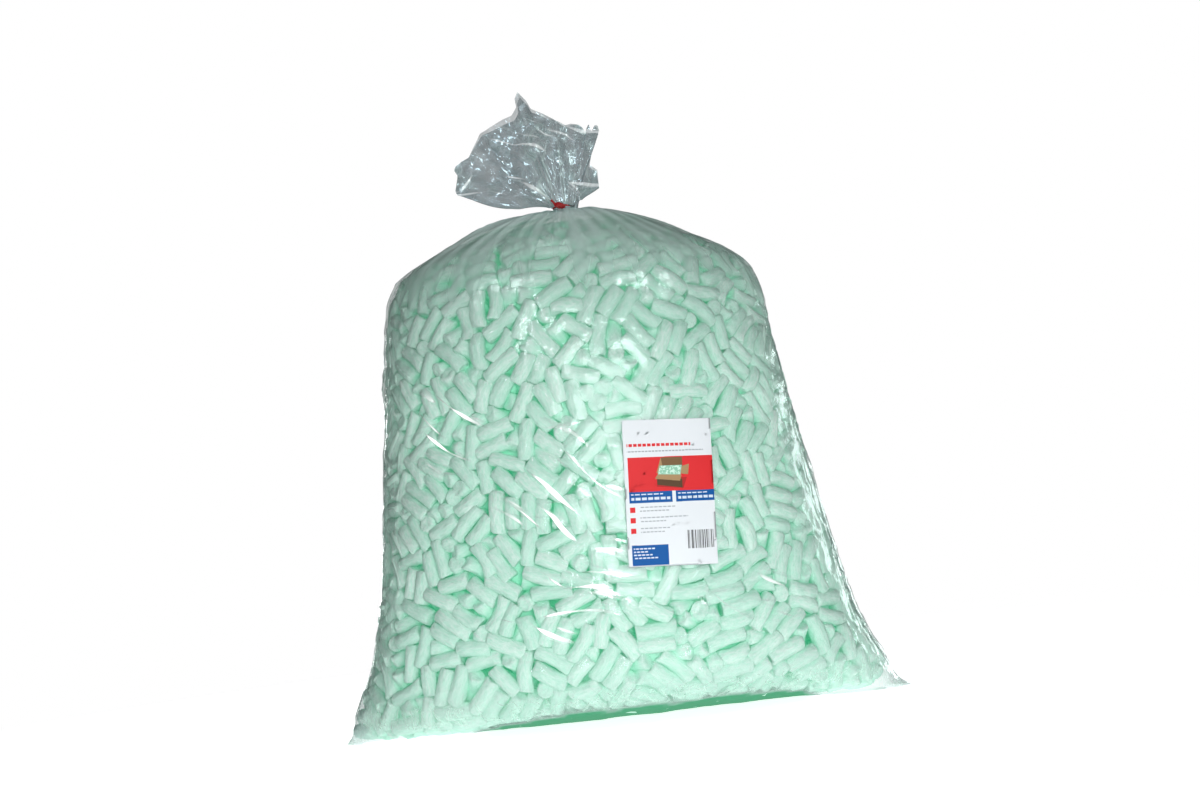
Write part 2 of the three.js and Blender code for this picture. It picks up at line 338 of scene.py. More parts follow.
def chip_shape(rng, fineness, length):
    """One blunt chip along Z, a little bent, barrelled and lumpy, from a cylinder with bevelled ends."""
    sides, loops, pore = fineness
    bm = bmesh.new()
    radius = CHIP_RADIUS
    bmesh.ops.create_cone(
        bm, cap_ends=True, segments=sides, radius1=radius, radius2=radius, depth=length
    )
    rims = [e for e in bm.edges if abs(e.verts[0].co.z - e.verts[1].co.z) < 1e-6]
    bmesh.ops.bevel(
        bm, geom=rims, offset=END_BEVEL, segments=1, profile=0.5,
        affect="EDGES", material=-1,
    )
    longways = [e for e in bm.edges if abs(e.verts[0].co.z - e.verts[1].co.z) > length * 0.6]
    if loops:
        bmesh.ops.subdivide_edges(bm, edges=longways, cuts=loops, use_grid_fill=True)
    if pore:
        ends = [f for f in bm.faces if abs(f.normal.z) > 0.99]
        bmesh.ops.inset_region(
            bm, faces=ends, thickness=PORE_EDGE, depth=-PORE_DEPTH, use_even_offset=True
        )
    bend = rng.uniform(-1, 1, 2) * rng.choice([1.6, 2.4, 4.0]) * MM
    barrel, squash = rng.uniform(-0.03, 0.06), rng.uniform(0.96, 1.05)
    lump = rng.uniform(0, 6.28, 4)
    lean = rng.uniform(-0.16, 0.16, 4)
    for vert in bm.verts:
        x, y, z = vert.co
        t = 2 * z / length
        lumps = math.sin(9 * t + lump[0]) * math.sin(lump[1] + 2 * math.atan2(y, x))
        grow = 0.985 + barrel * (1 - t * t) + 0.03 * lumps
        side = 1 if t > 0 else -1
        z += (lean[0] * x + lean[1] * y) if side > 0 else (lean[2] * x + lean[3] * y)
        vert.co = (
            x * grow * squash + bend[0] * (1 - t * t),
            y * grow / squash + bend[1] * (1 - t * t),
            z,
        )
    bmesh.ops.recalc_face_normals(bm, faces=bm.faces)
    return bm


def chips_piece(name, rng, room, places, ways, lengths, fineness, material):
    """All these chips as one mesh: each is a copy of one of a few shapes, turned along its way."""
    shapes = []
    typical = (CHIP_LENGTHS[0] + CHIP_LENGTHS[1]) / 2
    for _ in range(CHIP_KINDS):
        bm = chip_shape(rng, fineness, typical)
        bm.verts.index_update()
        verts = np.array([v.co[:] for v in bm.verts])
        faces = [[v.index for v in f.verts] for f in bm.faces]
        shapes.append((verts, faces))
        bm.free()
    count = len(places)
    spin = rng.uniform(0, 2 * np.pi, count)
    tone = rng.random(count)
    shift = rng.uniform(-5, 5, (count, 3))
    girth = rng.uniform(0.99, 1.12, count)
    kind = rng.integers(0, len(shapes), count)
    side = np.cross(ways, np.where(np.abs(ways[:, 2:]) < 0.9, [[0, 0, 1.0]], [[1.0, 0, 0]]))
    side /= np.linalg.norm(side, axis=1, keepdims=True)
    other = np.cross(ways, side)
    c, s = np.cos(spin)[:, None], np.sin(spin)[:, None]
    axis_x = side * c + other * s
    axis_y = np.cross(ways, axis_x)
    local = np.stack([shapes[k][0] for k in kind]) * np.stack([girth, girth, lengths / typical], 1)[:, None]
    verts = places[:, None] + local @ np.stack([axis_x, axis_y, ways], 1)
    for _ in range(2):  # any chip that touches the film is moved in
        distance, inward = room.look(verts.reshape(-1, 3), room.walls)
        distance = distance.reshape(count, -1)
        worst = distance.argmin(1)
        rows = np.arange(count)
        push = np.clip(CLEARANCE - distance[rows, worst], 0, 6 * MM)
        verts += (inward.reshape(verts.shape)[rows, worst] * push[:, None])[:, None]
    verts[..., 2] += np.clip(BASE_GAP - verts[..., 2].min(1), 0, None)[:, None]
    each = verts.shape[1]
    faces = [[f + i * each for f in face] for i, k in enumerate(kind) for face in shapes[k][1]]
    # how deep each point lies under the film, 0 to 1: the chips' material paints shade and a green glow
    # from it
    depth_shade = np.clip((room.look(verts.reshape(-1, 3), room.walls)[0] - 5 * MM) / (13 * MM), 0, 1)
    mesh = bpy.data.meshes.new(name)
    mesh.from_pydata(verts.reshape(-1, 3).tolist(), [], faces)
    mesh.shade_smooth()
    mesh.attributes.new("own_place", "FLOAT_VECTOR", "POINT").data.foreach_set(
        "vector", (local + shift[:, None]).astype(np.float32).ravel()
    )
    carry(mesh, ("tone", np.repeat(tone, each)), ("depth_shade", depth_shade))
    return new_piece(name, mesh, "chips", material)


# ---------------------------------------------------------------- shader writing
class Wire:
    """A socket whose arithmetic adds Math nodes to its tree."""

    def __init__(self, painter, socket):
        self.painter, self.socket = painter, socket

    def _math(self, operation, *values):
        return self.painter.node("ShaderNodeMath", {"operation": operation}, values).out()

    def __add__(self, other):
        return self._math("ADD", self, other)

    def __sub__(self, other):
        return self._math("SUBTRACT", self, other)

    def __rsub__(self, other):
        return self._math("SUBTRACT", other, self)

    def __mul__(self, other):
        return self._math("MULTIPLY", self, other)

    def __truediv__(self, other):
        return self._math("DIVIDE", self, other)

    def __pow__(self, other):
        return self._math("POWER", self, other)

    def __gt__(self, other):
        return self._math("GREATER_THAN", self, other)

    def __lt__(self, other):
        return self._math("LESS_THAN", self, other)

    def __or__(self, other):
        return self._math("MAXIMUM", self, other)

    def absolute(self):
        return self._math("ABSOLUTE", self)

    def sine(self):
        return self._math("SINE", self)

    def fraction(self):
        return self._math("FRACT", self)

    def clamped(self):
        return self._math("MINIMUM", self._math("MAXIMUM", self, 0), 1)

    __radd__ = __add__
    __rmul__ = __mul__


class Made:
    """A node just added, with a way to reach its outputs."""

    def __init__(self, painter, node):
        self.painter, self.made = painter, node

    def out(self, name=0):
        return Wire(self.painter, self.made.outputs[name])


class Painter:
    """One material's node tree."""

    def __init__(self, name):
        self.material = bpy.data.materials.new(name)
        self.material.use_nodes = True
        self.tree = self.material.node_tree
        self.tree.nodes.clear()

    def node(self, kind, settings=None, inputs=()):
        """Adds a node, sets its settings first, then its sockets by order or by name."""
        made = self.tree.nodes.new(kind)
        for key, value in (settings or {}).items():
            setattr(made, key, value)
        pairs = inputs.items() if isinstance(inputs, dict) else enumerate(inputs)
        for key, value in pairs:
            if isinstance(value, Wire):
                self.tree.links.new(value.socket, made.inputs[key])
            else:
                made.inputs[key].default_value = value
        return Made(self, made)

    def mix(self, factor, a, b):
        """A colour between a and b."""
        made = self.node("ShaderNodeMix", {"data_type": "RGBA"}, {0: factor, 6: a, 7: b})
        return made.out(2)

    def noise(self, vector, scale, detail=2.0, roughness=0.5):
        values = {"Vector": vector, "Scale": scale, "Detail": detail, "Roughness": roughness}
        return self.node("ShaderNodeTexNoise", None, values).out("Fac")

    def stretched(self, vector, scale):
        return self.node("ShaderNodeVectorMath", {"operation": "MULTIPLY"}, (vector, scale)).out()

    def attribute(self, name, output="Fac"):
        return self.node("ShaderNodeAttribute", {"attribute_name": name}).out(output)

    def bump(self, height, strength, distance):
        values = {"Height": height, "Strength": strength, "Distance": distance}
        return self.node("ShaderNodeBump", None, values).out()

    def show(self, shader):
        self.node("ShaderNodeOutputMaterial", None, {"Surface": shader})
        return self.material


def starch():
    """Foamed starch: matt, finely porous, faintly drawn out along the chip. Chips deeper under the film are
    painted a darker, greener shade, and carry a painted green glow (emission) that stands in for light
    passed through the foam, so the gaps between the chips are green and never black."""
    p = Painter("green_starch")
    own = p.attribute("own_place", "Vector")
    tone = p.attribute("tone")
    depth_shade = p.attribute("depth_shade")
    drawn = p.stretched(own, (1.0, 1.0, 0.3))
    streaks = p.noise(drawn, 430, 4, 0.75)
    pores = p.noise(own, 1100, 2, 0.6)
    lumps = p.noise(p.stretched(own, (1.0, 1.0, 0.6)), 230, 1)
    body = p.mix(tone, (0.65, 0.89, 0.79, 1), (0.76, 0.93, 0.86, 1))
    # painted shade: chips deeper under the film get a darker, greener colour, as if lit only by light
    # filtered through the chips above
    body = p.mix(depth_shade, body, (0.40, 0.84, 0.64, 1))
    color = p.mix(((0.58 - streaks) * 5).clamped() * 0.7, body, (0.46, 0.82, 0.67, 1))
    color = p.mix(((0.48 - pores) * 4).clamped() * 0.4, color, (0.44, 0.80, 0.64, 1))
    # painted glow: a faint green emission on the deeper chips stands in for light passing through the foam
    painted_glow = p.mix(depth_shade, (0, 0, 0, 1), (0.015, 0.115, 0.07, 1))
    normal = p.bump(streaks * 0.9 + pores * 0.4 + lumps * 1.2, 0.9, 1.4 * MM)
    surface = p.node("ShaderNodeBsdfPrincipled", None, {
        "Base Color": color, "Roughness": 0.8, "Specular IOR Level": 0.2, "Normal": normal,
        "Emission Color": painted_glow, "Emission Strength": 1.0,
    })
    return p.show(surface.out())


# ---------------------------------------------------------------- film
FILM_COLUMNS = 360
BASE_ROWS = 8
BODY_ROWS = 146
RUFFLE_ROWS = 70
MOST_SUNK = 7 * MM
MEMBRANE_ROUNDS = 60
MOST_CREASE = 6 * MM
SIDES_DRAWN_IN = 1.6 * MM
PRESSED_BY_LABEL = 1.4 * MM
NECK_PLEATS, NECK_PLEAT_HEIGHT = 17, 2.2 * MM
BODY_SHARES = np.linspace(0, 1, BODY_ROWS)
ANGLES = np.linspace(0, 2 * np.pi, FILM_COLUMNS, endpoint=False)

# Outline of the gathered film over the tie, seen from the front, from its lower left round to its
# lower right: share of the way round, then millimetres right of and above the tie.
RUFFLE_RIM = np.array([
    [0.00, -118, 22], [0.014, -120, 27], [0.04, -118, 37], [0.07, -116, 48], [0.09, -119, 54],
    [0.108, -117, 60], [0.138, -109, 67], [0.163, -101, 71], [0.197, -94, 82], [0.24, -85, 95],
    [0.277, -73, 101], [0.357, -47, 112], [0.385, -41, 121], [0.41, -42, 130], [0.435, -38, 137],
    [0.447, -35, 133], [0.472, -29, 126], [0.497, -25, 118], [0.537, -12, 112], [0.588, 3, 100],
    [0.62, 12, 93], [0.64, 19, 95], [0.665, 27, 93], [0.68, 31, 89], [0.70, 34, 82], [0.73, 39, 92],
    [0.76, 41, 81], [0.78, 46, 89], [0.79, 49, 87], [0.81, 50, 81], [0.87, 39, 61], [0.91, 35, 46],
    [0.945, 43, 39], [1.00, 43, 19],
])


def zigzag(x):
    """A wave with sharp turns, from -1 to 1 with a period of 1."""
    return 4 * np.abs(x - np.floor(x + 0.5)) - 1


def crumple(points, rng, count, low, high):
    """Distance to the nearest of many random seeds less a typical one: cones that meet in creases."""
    seeds = rng.uniform(low, high, (count, 3))
    flat = points.reshape(-1, 3)
    nearest = np.full(len(flat), np.inf)
    for seed in seeds:
        nearest = np.minimum(nearest, ((flat - seed) ** 2).sum(1))
    nearest = np.sqrt(nearest)
    return (nearest - nearest.mean()).reshape(points.shape[:2])


def ruffle_points(rng):
    """The film over the tie, row by row from the neck to the open mouth. s is the share of the way up,
    and w the share of the way from the left edge to the right one, on the front and on the back."""
    s = np.linspace(0, 1, RUFFLE_ROWS + 1)[1:, None]
    front = ANGLES >= np.pi
    w = np.where(front, (ANGLES - np.pi) / np.pi, 1 - ANGLES / np.pi)[None, :]
    side = np.where(front, -1.0, 1.0)[None, :]
    behind = ~front[None, :]
    rim_x = np.interp(w, RUFFLE_RIM[:, 0], RUFFLE_RIM[:, 1]) * MM
    rim_z = np.interp(w, RUFFLE_RIM[:, 0], RUFFLE_RIM[:, 2]) * MM
    shrink = np.where(behind, 0.985 + 0.02 * np.sin(11 * w + 0.6), 1.0)
    ends = np.clip(np.minimum(w, 1 - w) / 0.08, 0, 1)
    shrink = 1 + (shrink - 1) * ends
    radius = NECK_RADIUS
    out = s ** 0.92
    x = radius * np.cos(ANGLES)[None, :] * (1 - s) ** 1.3 + rim_x * shrink * out
    dip = np.clip(1 - w / 0.25, 0, 1) * np.sin(np.pi * s)
    z = rim_z * shrink * out + 3 * MM * np.sin(np.pi * np.clip(s * 3, 0, 1)) * (1 - s) - 5 * MM * dip
    body = np.sin(np.pi * w) ** 0.6
    y = radius * np.sin(ANGLES)[None, :] * (1 - s) ** 1.3 + side * body * 26 * MM * s ** 0.6 * (1 - 0.6 * s)
    fine = (1 - s) ** 1.5
    pleats = (
        7 * zigzag(2.3 * w + 0.2 + 0.25 * s + 0.3 * side)
        + 4 * zigzag(6.1 * w + 0.35 * side - 0.5 * s)
        + 3.5 * fine * zigzag(15.3 * w + 0.6 * side + 0.4 * s)
    )
    y = y + pleats * MM * body * s ** 0.8
    lap = np.clip((w - 0.62) / 0.2, 0, 1) * (side < 0) * np.exp(-(((s - 0.10) / 0.09) ** 2))
    z = z - 13 * MM * lap
    y = y - 6 * MM * lap
    points = np.stack([x, y, z], -1)
    low, high = points.min((0, 1)), points.max((0, 1))
    broad, small = crumple(points, rng, 40, low, high), crumple(points, rng, 300, low, high)
    grown = np.clip(s * 1.6, 0, 1)
    points[..., 1] += (broad * 0.7 * ends + small * 0.55 * (0.3 + 0.7 * ends)) * grown
    points[..., 2] += 0.2 * broad * s + 0.27 * points[..., 1] * s
    return points + np.array(NECK)


def membrane(points, normals, tree, reach, rounds):
    """How far each point of the film sinks inwards until it lies on the chips, as a stretched skin."""
    rows, columns = points.shape[:2]
    start = (points + normals * MM).reshape(-1, 3).tolist()
    inward = (-normals).reshape(-1, 3).tolist()
    free = [tree.ray_cast(p, d, reach + MM)[3] for p, d in zip(start, inward)]
    room_in = np.array([reach if f is None else f - MM for f in free]).reshape(rows, columns)
    room_in = np.clip(room_in - 0.5 * MM, -1.5 * MM, reach)
    sunk = np.zeros((rows, columns))
    for _ in range(rounds):
        padded = np.concatenate([sunk[:1], sunk, sunk[-1:]], 0)
        around = (padded[:-2] + padded[2:] + np.roll(sunk, 1, 1) + np.roll(sunk, -1, 1)) / 4
        sunk = np.minimum(around + 0.22 * MM, room_in)
    return sunk


def normals_of(points):
    """Outward directions of a grid of points that runs up and round."""
    round_way = np.roll(points, -1, 1) - np.roll(points, 1, 1)
    up_way = np.gradient(points, axis=0)
    normals = np.cross(round_way, up_way)
    return normals / np.maximum(np.linalg.norm(normals, axis=-1, keepdims=True), 1e-9)


def ridge(points, path, height, width):
    """Height of a crease along a path, falling off sharply to both sides and fading at its ends."""
    flat = points.reshape(-1, 3)
    reach = 6 * width
    near = np.all((flat > path.min(0) - reach) & (flat < path.max(0) + reach), axis=1)
    lifted = np.zeros(len(flat))
    if not near.any():
        return lifted.reshape(points.shape[:2])
    close = flat[near]
    best = np.full(len(close), np.inf)
    fade = np.zeros(len(close))
    count = len(path) - 1
    for k in range(count):
        a, b = path[k], path[k + 1]
        along = np.clip(((close - a) @ (b - a)) / max(((b - a) ** 2).sum(), 1e-12), 0, 1)
        far = np.linalg.norm(close - a - along[:, None] * (b - a), axis=1)
        nearer = far < best
        best[nearer] = far[nearer]
        fade[nearer] = ((k + along) / count)[nearer]
    lifted[near] = height * np.exp(-best / width) * np.sin(np.pi * fade) ** 0.5
    return lifted.reshape(points.shape[:2])


def wander(rng, angle, share, turn, climb, bend):
    """A crease's path on the film: it starts at an angle and a share and drifts in a slight curve."""
    t = np.linspace(0, 1, 8)
    angles = angle + turn * t + bend * np.sin(np.pi * t)
    shares = np.clip(share + climb * t, 0.004, 0.995)
    return np.stack([body_points(np.array([h]), np.array([a]))[0, 0] for a, h in zip(angles, shares)])


def creases(points, rng):
    """All the creases of the filled part of the bag."""
    total = np.zeros(points.shape[:2])
    for middle in (0, np.pi):  # up the two folded sides
        for _ in range(34):
            path = wander(rng, middle + rng.normal(0, 0.22), rng.uniform(0.02, 0.6), rng.normal(0, 0.1),
                          rng.uniform(0.08, 0.3), rng.normal(0, 0.03))
            total += ridge(points, path, rng.uniform(0.8, 3.2) * MM, rng.uniform(1.6, 3.2) * MM)
    for _ in range(46):  # from the tie down over the shoulders
        angle = rng.uniform(0, 2 * np.pi)
        path = wander(rng, angle, 0.985, rng.normal(0, 0.12), -rng.uniform(0.12, 0.42), rng.normal(0, 0.04))
        total += ridge(points, path, rng.uniform(1.0, 3.4) * MM, rng.uniform(1.6, 3.0) * MM)
    for _ in range(60):  # long shallow ones over the chips
        path = wander(rng, rng.uniform(0, 2 * np.pi), rng.uniform(0.08, 0.6), rng.normal(0, 0.22),
                      rng.normal(0, 0.12), rng.normal(0, 0.06))
        total += ridge(points, path, rng.uniform(0.4, 1.5) * MM, rng.uniform(1.8, 3.5) * MM)
    for _ in range(70):  # short ones along the bottom, front and back
        middle = rng.choice([0.5, 1.5]) * np.pi
        path = wander(rng, middle + rng.uniform(-1.15, 1.15), rng.uniform(0.035, 0.10), rng.normal(0, 0.16),
                      rng.normal(0, 0.03), rng.normal(0, 0.03))
        total += ridge(points, path, rng.uniform(1.0, 3.6) * MM, rng.uniform(1.6, 3.0) * MM)
    return np.minimum(total, MOST_CREASE)


def on_label(x, y, z):
    """1 on the front behind the label, falling to 0 a little way outside it."""
    dx, dz = x - LABEL_AT[0], z - LABEL_AT[1]
    c, s = math.cos(LABEL_TURN), math.sin(LABEL_TURN)
    across = np.abs(c * dx - s * dz) - LABEL_SIZE[0] / 2
    along = np.abs(s * dx + c * dz) - LABEL_SIZE[1] / 2
    outside = np.maximum(across, along)
    return np.interp(outside, [1 * MM, 9 * MM], [1, 0]) * (y < 0)


# Where groups of painted glints lie on the film, bright streaks standing in for lamp light caught by folds,
# in millimetres: right of and above the origin, then half width and half height.
GLINT_GROUPS = ((-40, 210, 52, 80), (-90, 122, 46, 34), (-160, 320, 34, 34), (135, 110, 40, 26))
# The dark strip is painted shade: the film along the front's foot is given a dark green colour that stands
# in for the shade under it.
BRIM = {"height": 20 * MM, "middle": 0.02, "reach": 0.19}  # the dark strip along the front's foot


def foot_waves(x):
    """The foot of the front hangs in shallow arcs between a few pinched spots."""
    t = 7.3 * x / 0.31 + 0.9 * np.sin(9 * x + 1)
    return np.abs(np.sin(np.pi * t / 2 + 0.6)) * (0.6 + 0.4 * np.sin(21 * x))


def film_layers(x, y, z):
    """What the film's finish needs to know at each of its points, each layer from 0 to 1: where it is
    bunched, where its front's foot gets painted dark green shade, where it is milky with folds, where it is
    crumpled, and where painted glints go."""
    width, _, _, left = sections_at(z)
    spread = np.abs(x + left) / width
    bunched = np.interp(z, [0.535, 0.552, 0.565], [0, 0.5, 1.0])
    ears = np.interp(np.abs(x), [0.265, 0.30], [0, 0.4])
    sides = np.interp(spread, [0.93, 1.0], [0, 0.12])
    bunched = np.maximum(np.maximum(bunched, ears), sides * (z < 0.56))
    off_middle = x - BRIM["middle"]
    brim = BRIM["height"] * np.clip(1 - (off_middle / BRIM["reach"]) ** 2, 0, 1) ** 0.4
    brim += 1.5 * MM * np.sin(61 * x + 2 * np.sin(23 * x))
    # under: where the painted dark green shade lies along the front's foot, below a wavy line
    under = np.clip((brim - z) / (1.5 * MM) + 0.5, 0, 1)
    under *= np.interp(np.abs(off_middle), [BRIM["reach"] - 0.02, BRIM["reach"]], [1, 0])
    around = np.arctan2(y, x - NECK.x)
    streaky = (
        0.8 + 0.2 * np.sin(5 * around + 1) + 0.25 * np.sin(13 * around + 2 * np.sin(3 * around))
        + 0.25 * np.sin(41 * around + 3 * np.sin(2 * around))
    )
    milky = np.interp(z, [0.35, 0.44, 0.50, 0.55, 0.565], [0, 0.2, 0.6, 0.95, 0.3])
    haze = milky * np.maximum(streaky, 0.5)
    veil = np.interp(z, [0.012, 0.02, 0.036, 0.06], [0, 1, 0.8, 0]) * (np.abs(y) > 0.03)
    veil = np.maximum(veil, np.interp(spread, [0.84, 0.97], [0, 0.8]) * (z < 0.40)) * (1 - under)
    groups = np.zeros(len(z))
    for middle_x, middle_z, wide, high in GLINT_GROUPS:
        away = np.hypot((x - middle_x * MM) / (wide * MM), (z - middle_z * MM) / (high * MM))
        groups = np.maximum(groups, np.clip(1.5 - away, 0, 1))
    groups = np.maximum(groups * (1 - on_label(x, y, z)), np.interp(z, [0.572, 0.59], [0, 0.35]))
    return ("bunched", bunched), ("under", under), ("haze", haze), ("veil", veil), ("glints", groups)


def film_piece(chips, rng, material):
    """The whole bag: seal line under the base, filled body, neck and the pleated film over the tie."""
    body = body_points(BODY_SHARES, ANGLES)
    normals = normals_of(body)
    corners, faces = [], []
    for piece in chips:
        start = len(corners)
        corners += [v.co for v in piece.data.vertices]
        faces += [[start + k for k in face.vertices] for face in piece.data.polygons]
    tree = BVHTree.FromPolygons(corners, faces)
    sunk = membrane(body, normals, tree, MOST_SUNK, MEMBRANE_ROUNDS)
    level = np.interp(body[..., 2], [0.0, 0.01], [0, 1])
    neck = np.interp(body[..., 2], [0.545, 0.563], [1, 0])
    label = on_label(body[..., 0], body[..., 1], body[..., 2])
    side_way = np.interp(np.abs(np.cos(ANGLES)), [0.80, 0.97], [1, 0.7])[None, :]
    sunk *= side_way * np.interp(body[..., 2], [0.44, 0.50], [1, 0.15])
    folds = creases(body, rng)
    closer = SIDES_DRAWN_IN * np.interp(np.abs(np.cos(ANGLES)), [0.7, 0.9], [0, 1])[None, :]
    lift = (folds - 0.5 * sunk - closer) * level * neck * (1 - label) - PRESSED_BY_LABEL * label
    z = body[..., 2]
    pleats = 1 + 0.5 * zigzag(NECK_PLEATS * ANGLES / (2 * np.pi) + 0.3)[None, :]
    lift += NECK_PLEAT_HEIGHT * np.interp(z, [0.49, 0.54, 0.562, 0.569], [0, 1, 0.6, 0.3]) * pleats * (
        0.6 + 0.4 * np.sin(5 * ANGLES + 1)[None, :])
    body = body + normals * lift[..., None]
    body[..., 2] = np.maximum(body[..., 2], 0)
    front = (body[..., 1] < -20 * MM) * np.interp(np.abs(body[..., 0]), [0.22, 0.29], [1, 0])
    low_part = np.clip(1 - body[..., 2] / (22 * MM), 0, 1)
    body[..., 2] += 1.5 * MM * foot_waves(body[..., 0]) * front * low_part
    outwards = np.linspace(0, 1, BASE_ROWS + 1)[:-1, None, None] * [0, 1, 1] + [1, 0, 0]
    base = body[:1] * outwards
    ruffle = ruffle_points(rng)
    points = np.concatenate([base, body, ruffle], 0)
    bm = tube_mesh(points)
    bmesh.ops.remove_doubles(bm, verts=[v for v in bm.verts if abs(v.co.y) < 1e-6], dist=1e-6)
    mesh = mesh_of(bm, "bag_film_sheet")
    co = np.empty(len(mesh.vertices) * 3, np.float32)
    mesh.vertices.foreach_get("co", co)
    carry(mesh, *film_layers(*co.reshape(-1, 3).T))
    return new_piece("clear_bag", mesh, "film", material)


def glint_lenses(p, place, turn):
    """Noise drawn out into long thin lenses along a slightly bowed slanting line: the shapes of the painted
    glints.
    """
    parts = p.node("ShaderNodeSeparateXYZ", None, (place,))
    x, z = parts.out("X"), parts.out("Z")
    c, s = math.cos(turn), math.sin(turn)
    along = x * c + z * s
    across = z * c - x * s + (along * 38).sine() * 7 * MM
    line = p.node("ShaderNodeCombineXYZ", None, (along * 14, across * 125, parts.out("Y") * 5)).out()
    return p.noise(line, 1.0, 1.0, 0.4)


def clear_film():
    """Thin clear film: nearly invisible where it is smooth, grey where it is bunched, with sharp glints
    that are partly reflections of the small lamps and partly painted white streaks with a little emission,
    and a painted dark green shade along the front's foot.
    """
    p = Painter("clear_film")
    place = p.node("ShaderNodeTexCoord").out("Object")
    bunched = p.attribute("bunched")
    under = p.attribute("under")
    facing = p.node("ShaderNodeLayerWeight", None, {"Blend": 0.35}).out("Facing")
    smears = p.noise(place, 26, 3, 0.6)
    fine = p.noise(place, 160, 3, 0.6)
    folds = p.node(
        "ShaderNodeTexVoronoi", {"feature": "DISTANCE_TO_EDGE"}, {"Vector": place, "Scale": 38.0}
    ).out("Distance")
    haze = p.attribute("haze") * (0.75 + smears * 0.5)
    thin = 0.025 + (smears - 0.4).clamped() * 0.08 + bunched * (0.32 + smears * 0.18)
    lenses = glint_lenses(p, place, math.radians(-34)) | glint_lenses(p, place, math.radians(-12)) * 0.97
    upright = glint_lenses(p, place, math.radians(62))
    lenses = lenses | upright * (0.45 + bunched * 0.45)
    groups = p.attribute("glints")
    # painted highlights: bright white streaks and a softer sheen round them (soft), drawn from noise where
    # the glints layer allows, not reflections of any lamp
    painted_shine = ((lenses - 0.655) * 22).clamped() * groups
    soft = ((lenses - 0.59) * 6).clamped() * groups * (1 - bunched).clamped()
    drawn = p.noise(p.stretched(place, (1.0, 1.0, 0.55)), 55, 2, 0.5)
    crinkle = (1 - (drawn - 0.5).absolute() * 16).clamped()
    veil = p.attribute("veil") * (0.12 + crinkle * 0.22 + fine * 0.3)
    cover = (thin + haze * 0.75 + facing ** 2.5 * 0.5 + under + painted_shine + soft * 0.3 + veil).clamped()
    normal = p.bump(smears * 1.0 + fine * 0.18 + folds.clamped() * 0.5, 0.8, 2.5 * MM)
    tint = p.mix((bunched + facing * 0.7).clamped(), (0.80, 0.88, 0.88, 1), (0.115, 0.19, 0.28, 1))
    tint = p.mix((haze * 1.8).clamped(), tint, (0.62, 0.80, 0.76, 1))
    tint = p.mix((veil * 2).clamped(), tint, (0.66, 0.90, 0.80, 1))
    # painted highlight: the film is made whiter at the painted streaks
    tint = p.mix((painted_shine + soft).clamped(), tint, (0.95, 0.98, 0.97, 1))
    # painted shade: the film along the front's foot is coloured dark green, standing in for the shade
    # beneath it
    tint = p.mix(under, tint, (0.036, 0.29, 0.145, 1))
    metal = 0.7 * (1 - under) * (1 - (haze * 1.2).clamped()) * (1 - (painted_shine + soft + veil * 2).clamped())
    # painted highlight: the painted streaks also glow a little through emission
    lit = p.mix(painted_shine.clamped(), (0, 0, 0, 1), (0.8, 0.8, 0.8, 1))
    surface = p.node("ShaderNodeBsdfPrincipled", None, {
        "Base Color": tint, "Metallic": metal, "Normal": normal,
        "Roughness": 0.11 + under * 0.6 + haze * 0.5,
        "Emission Color": lit, "Emission Strength": 1.0,
    }).out()
    clear = p.node("ShaderNodeBsdfTransparent", None, {"Color": (0.985, 1.0, 0.995, 1)}).out()
    return p.show(p.node("ShaderNodeMixShader", None, (cover, clear, surface)).out())


# ---------------------------------------------------------------- tie
def tube_along(bm, path, radius):
    """A round cord through the points of a path, closed at both ends."""
    rings = []
    for k, point in enumerate(path):
        way = (path[min(k + 1, len(path) - 1)] - path[max(k - 1, 0)]).normalized()
        turn = way.to_track_quat("Z", "Y").to_matrix().to_4x4()
        made = bmesh.ops.create_circle(
            bm, cap_ends=False, segments=10, radius=radius, matrix=Matrix.Translation(point) @ turn
        )
        rings.append(made["verts"])
    for a, b in zip(rings, rings[1:]):
        edges = [e for ring in (a, b) for v in ring for e in v.link_edges
                 if e.verts[0] in ring and e.verts[1] in ring]
        bmesh.ops.bridge_loops(bm, edges=list(dict.fromkeys(edges)))
    for ring in (rings[0], rings[-1]):
        bmesh.ops.contextual_create(bm, geom=ring)


KNOT_HALF_SIZE = (6.6 * MM, 3.4 * MM, 3.6 * MM)
TURN_RADIUS = 1.0 * MM
TIP_RADIUS = 1.3 * MM


def tie_piece(material):
    """A red tie pulled into the gathered neck: a thin turn, a lumpy knot in front and one short tip."""
    bm = bmesh.new()
    radius = NECK_RADIUS + 0.7 * MM
    path = []
    for k in range(41):
        a = -math.pi / 2 + 2 * math.pi * k / 40
        sway = 0.4 * MM * math.sin(3 * a)
        path.append(NECK + Vector((radius * math.cos(a), radius * math.sin(a), sway)))
    tube_along(bm, path, TURN_RADIUS)
    middle = NECK + Vector((-3.5 * MM, -radius + 0.5 * MM, 0.5 * MM))
    lean = Matrix.Rotation(math.radians(18), 4, "Y")
    shape = Matrix.Diagonal((*KNOT_HALF_SIZE, 1))
    made = bmesh.ops.create_icosphere(
        bm, subdivisions=4, radius=1, matrix=Matrix.Translation(middle) @ lean @ shape
    )
    for vert in made["verts"]:
        away = (vert.co - middle) / MM
        twist = 0.10 * math.sin(2.1 * away.x + 2.6 * away.z) + 0.06 * math.sin(3.3 * away.z - 1.3 * away.x)
        vert.co = middle + away * MM * (1 + twist)
    path = []
    for k in range(9):
        t = k / 8
        path.append(middle + Vector((-4.5 * MM - 4.5 * MM * t, -1.2 * MM, 1.0 * MM + 6.0 * MM * t)))
    tube_along(bm, path, TIP_RADIUS)
    bmesh.ops.recalc_face_normals(bm, faces=bm.faces)
    return new_piece("red_tie", mesh_of(bm, "red_tie"), "tie", material)


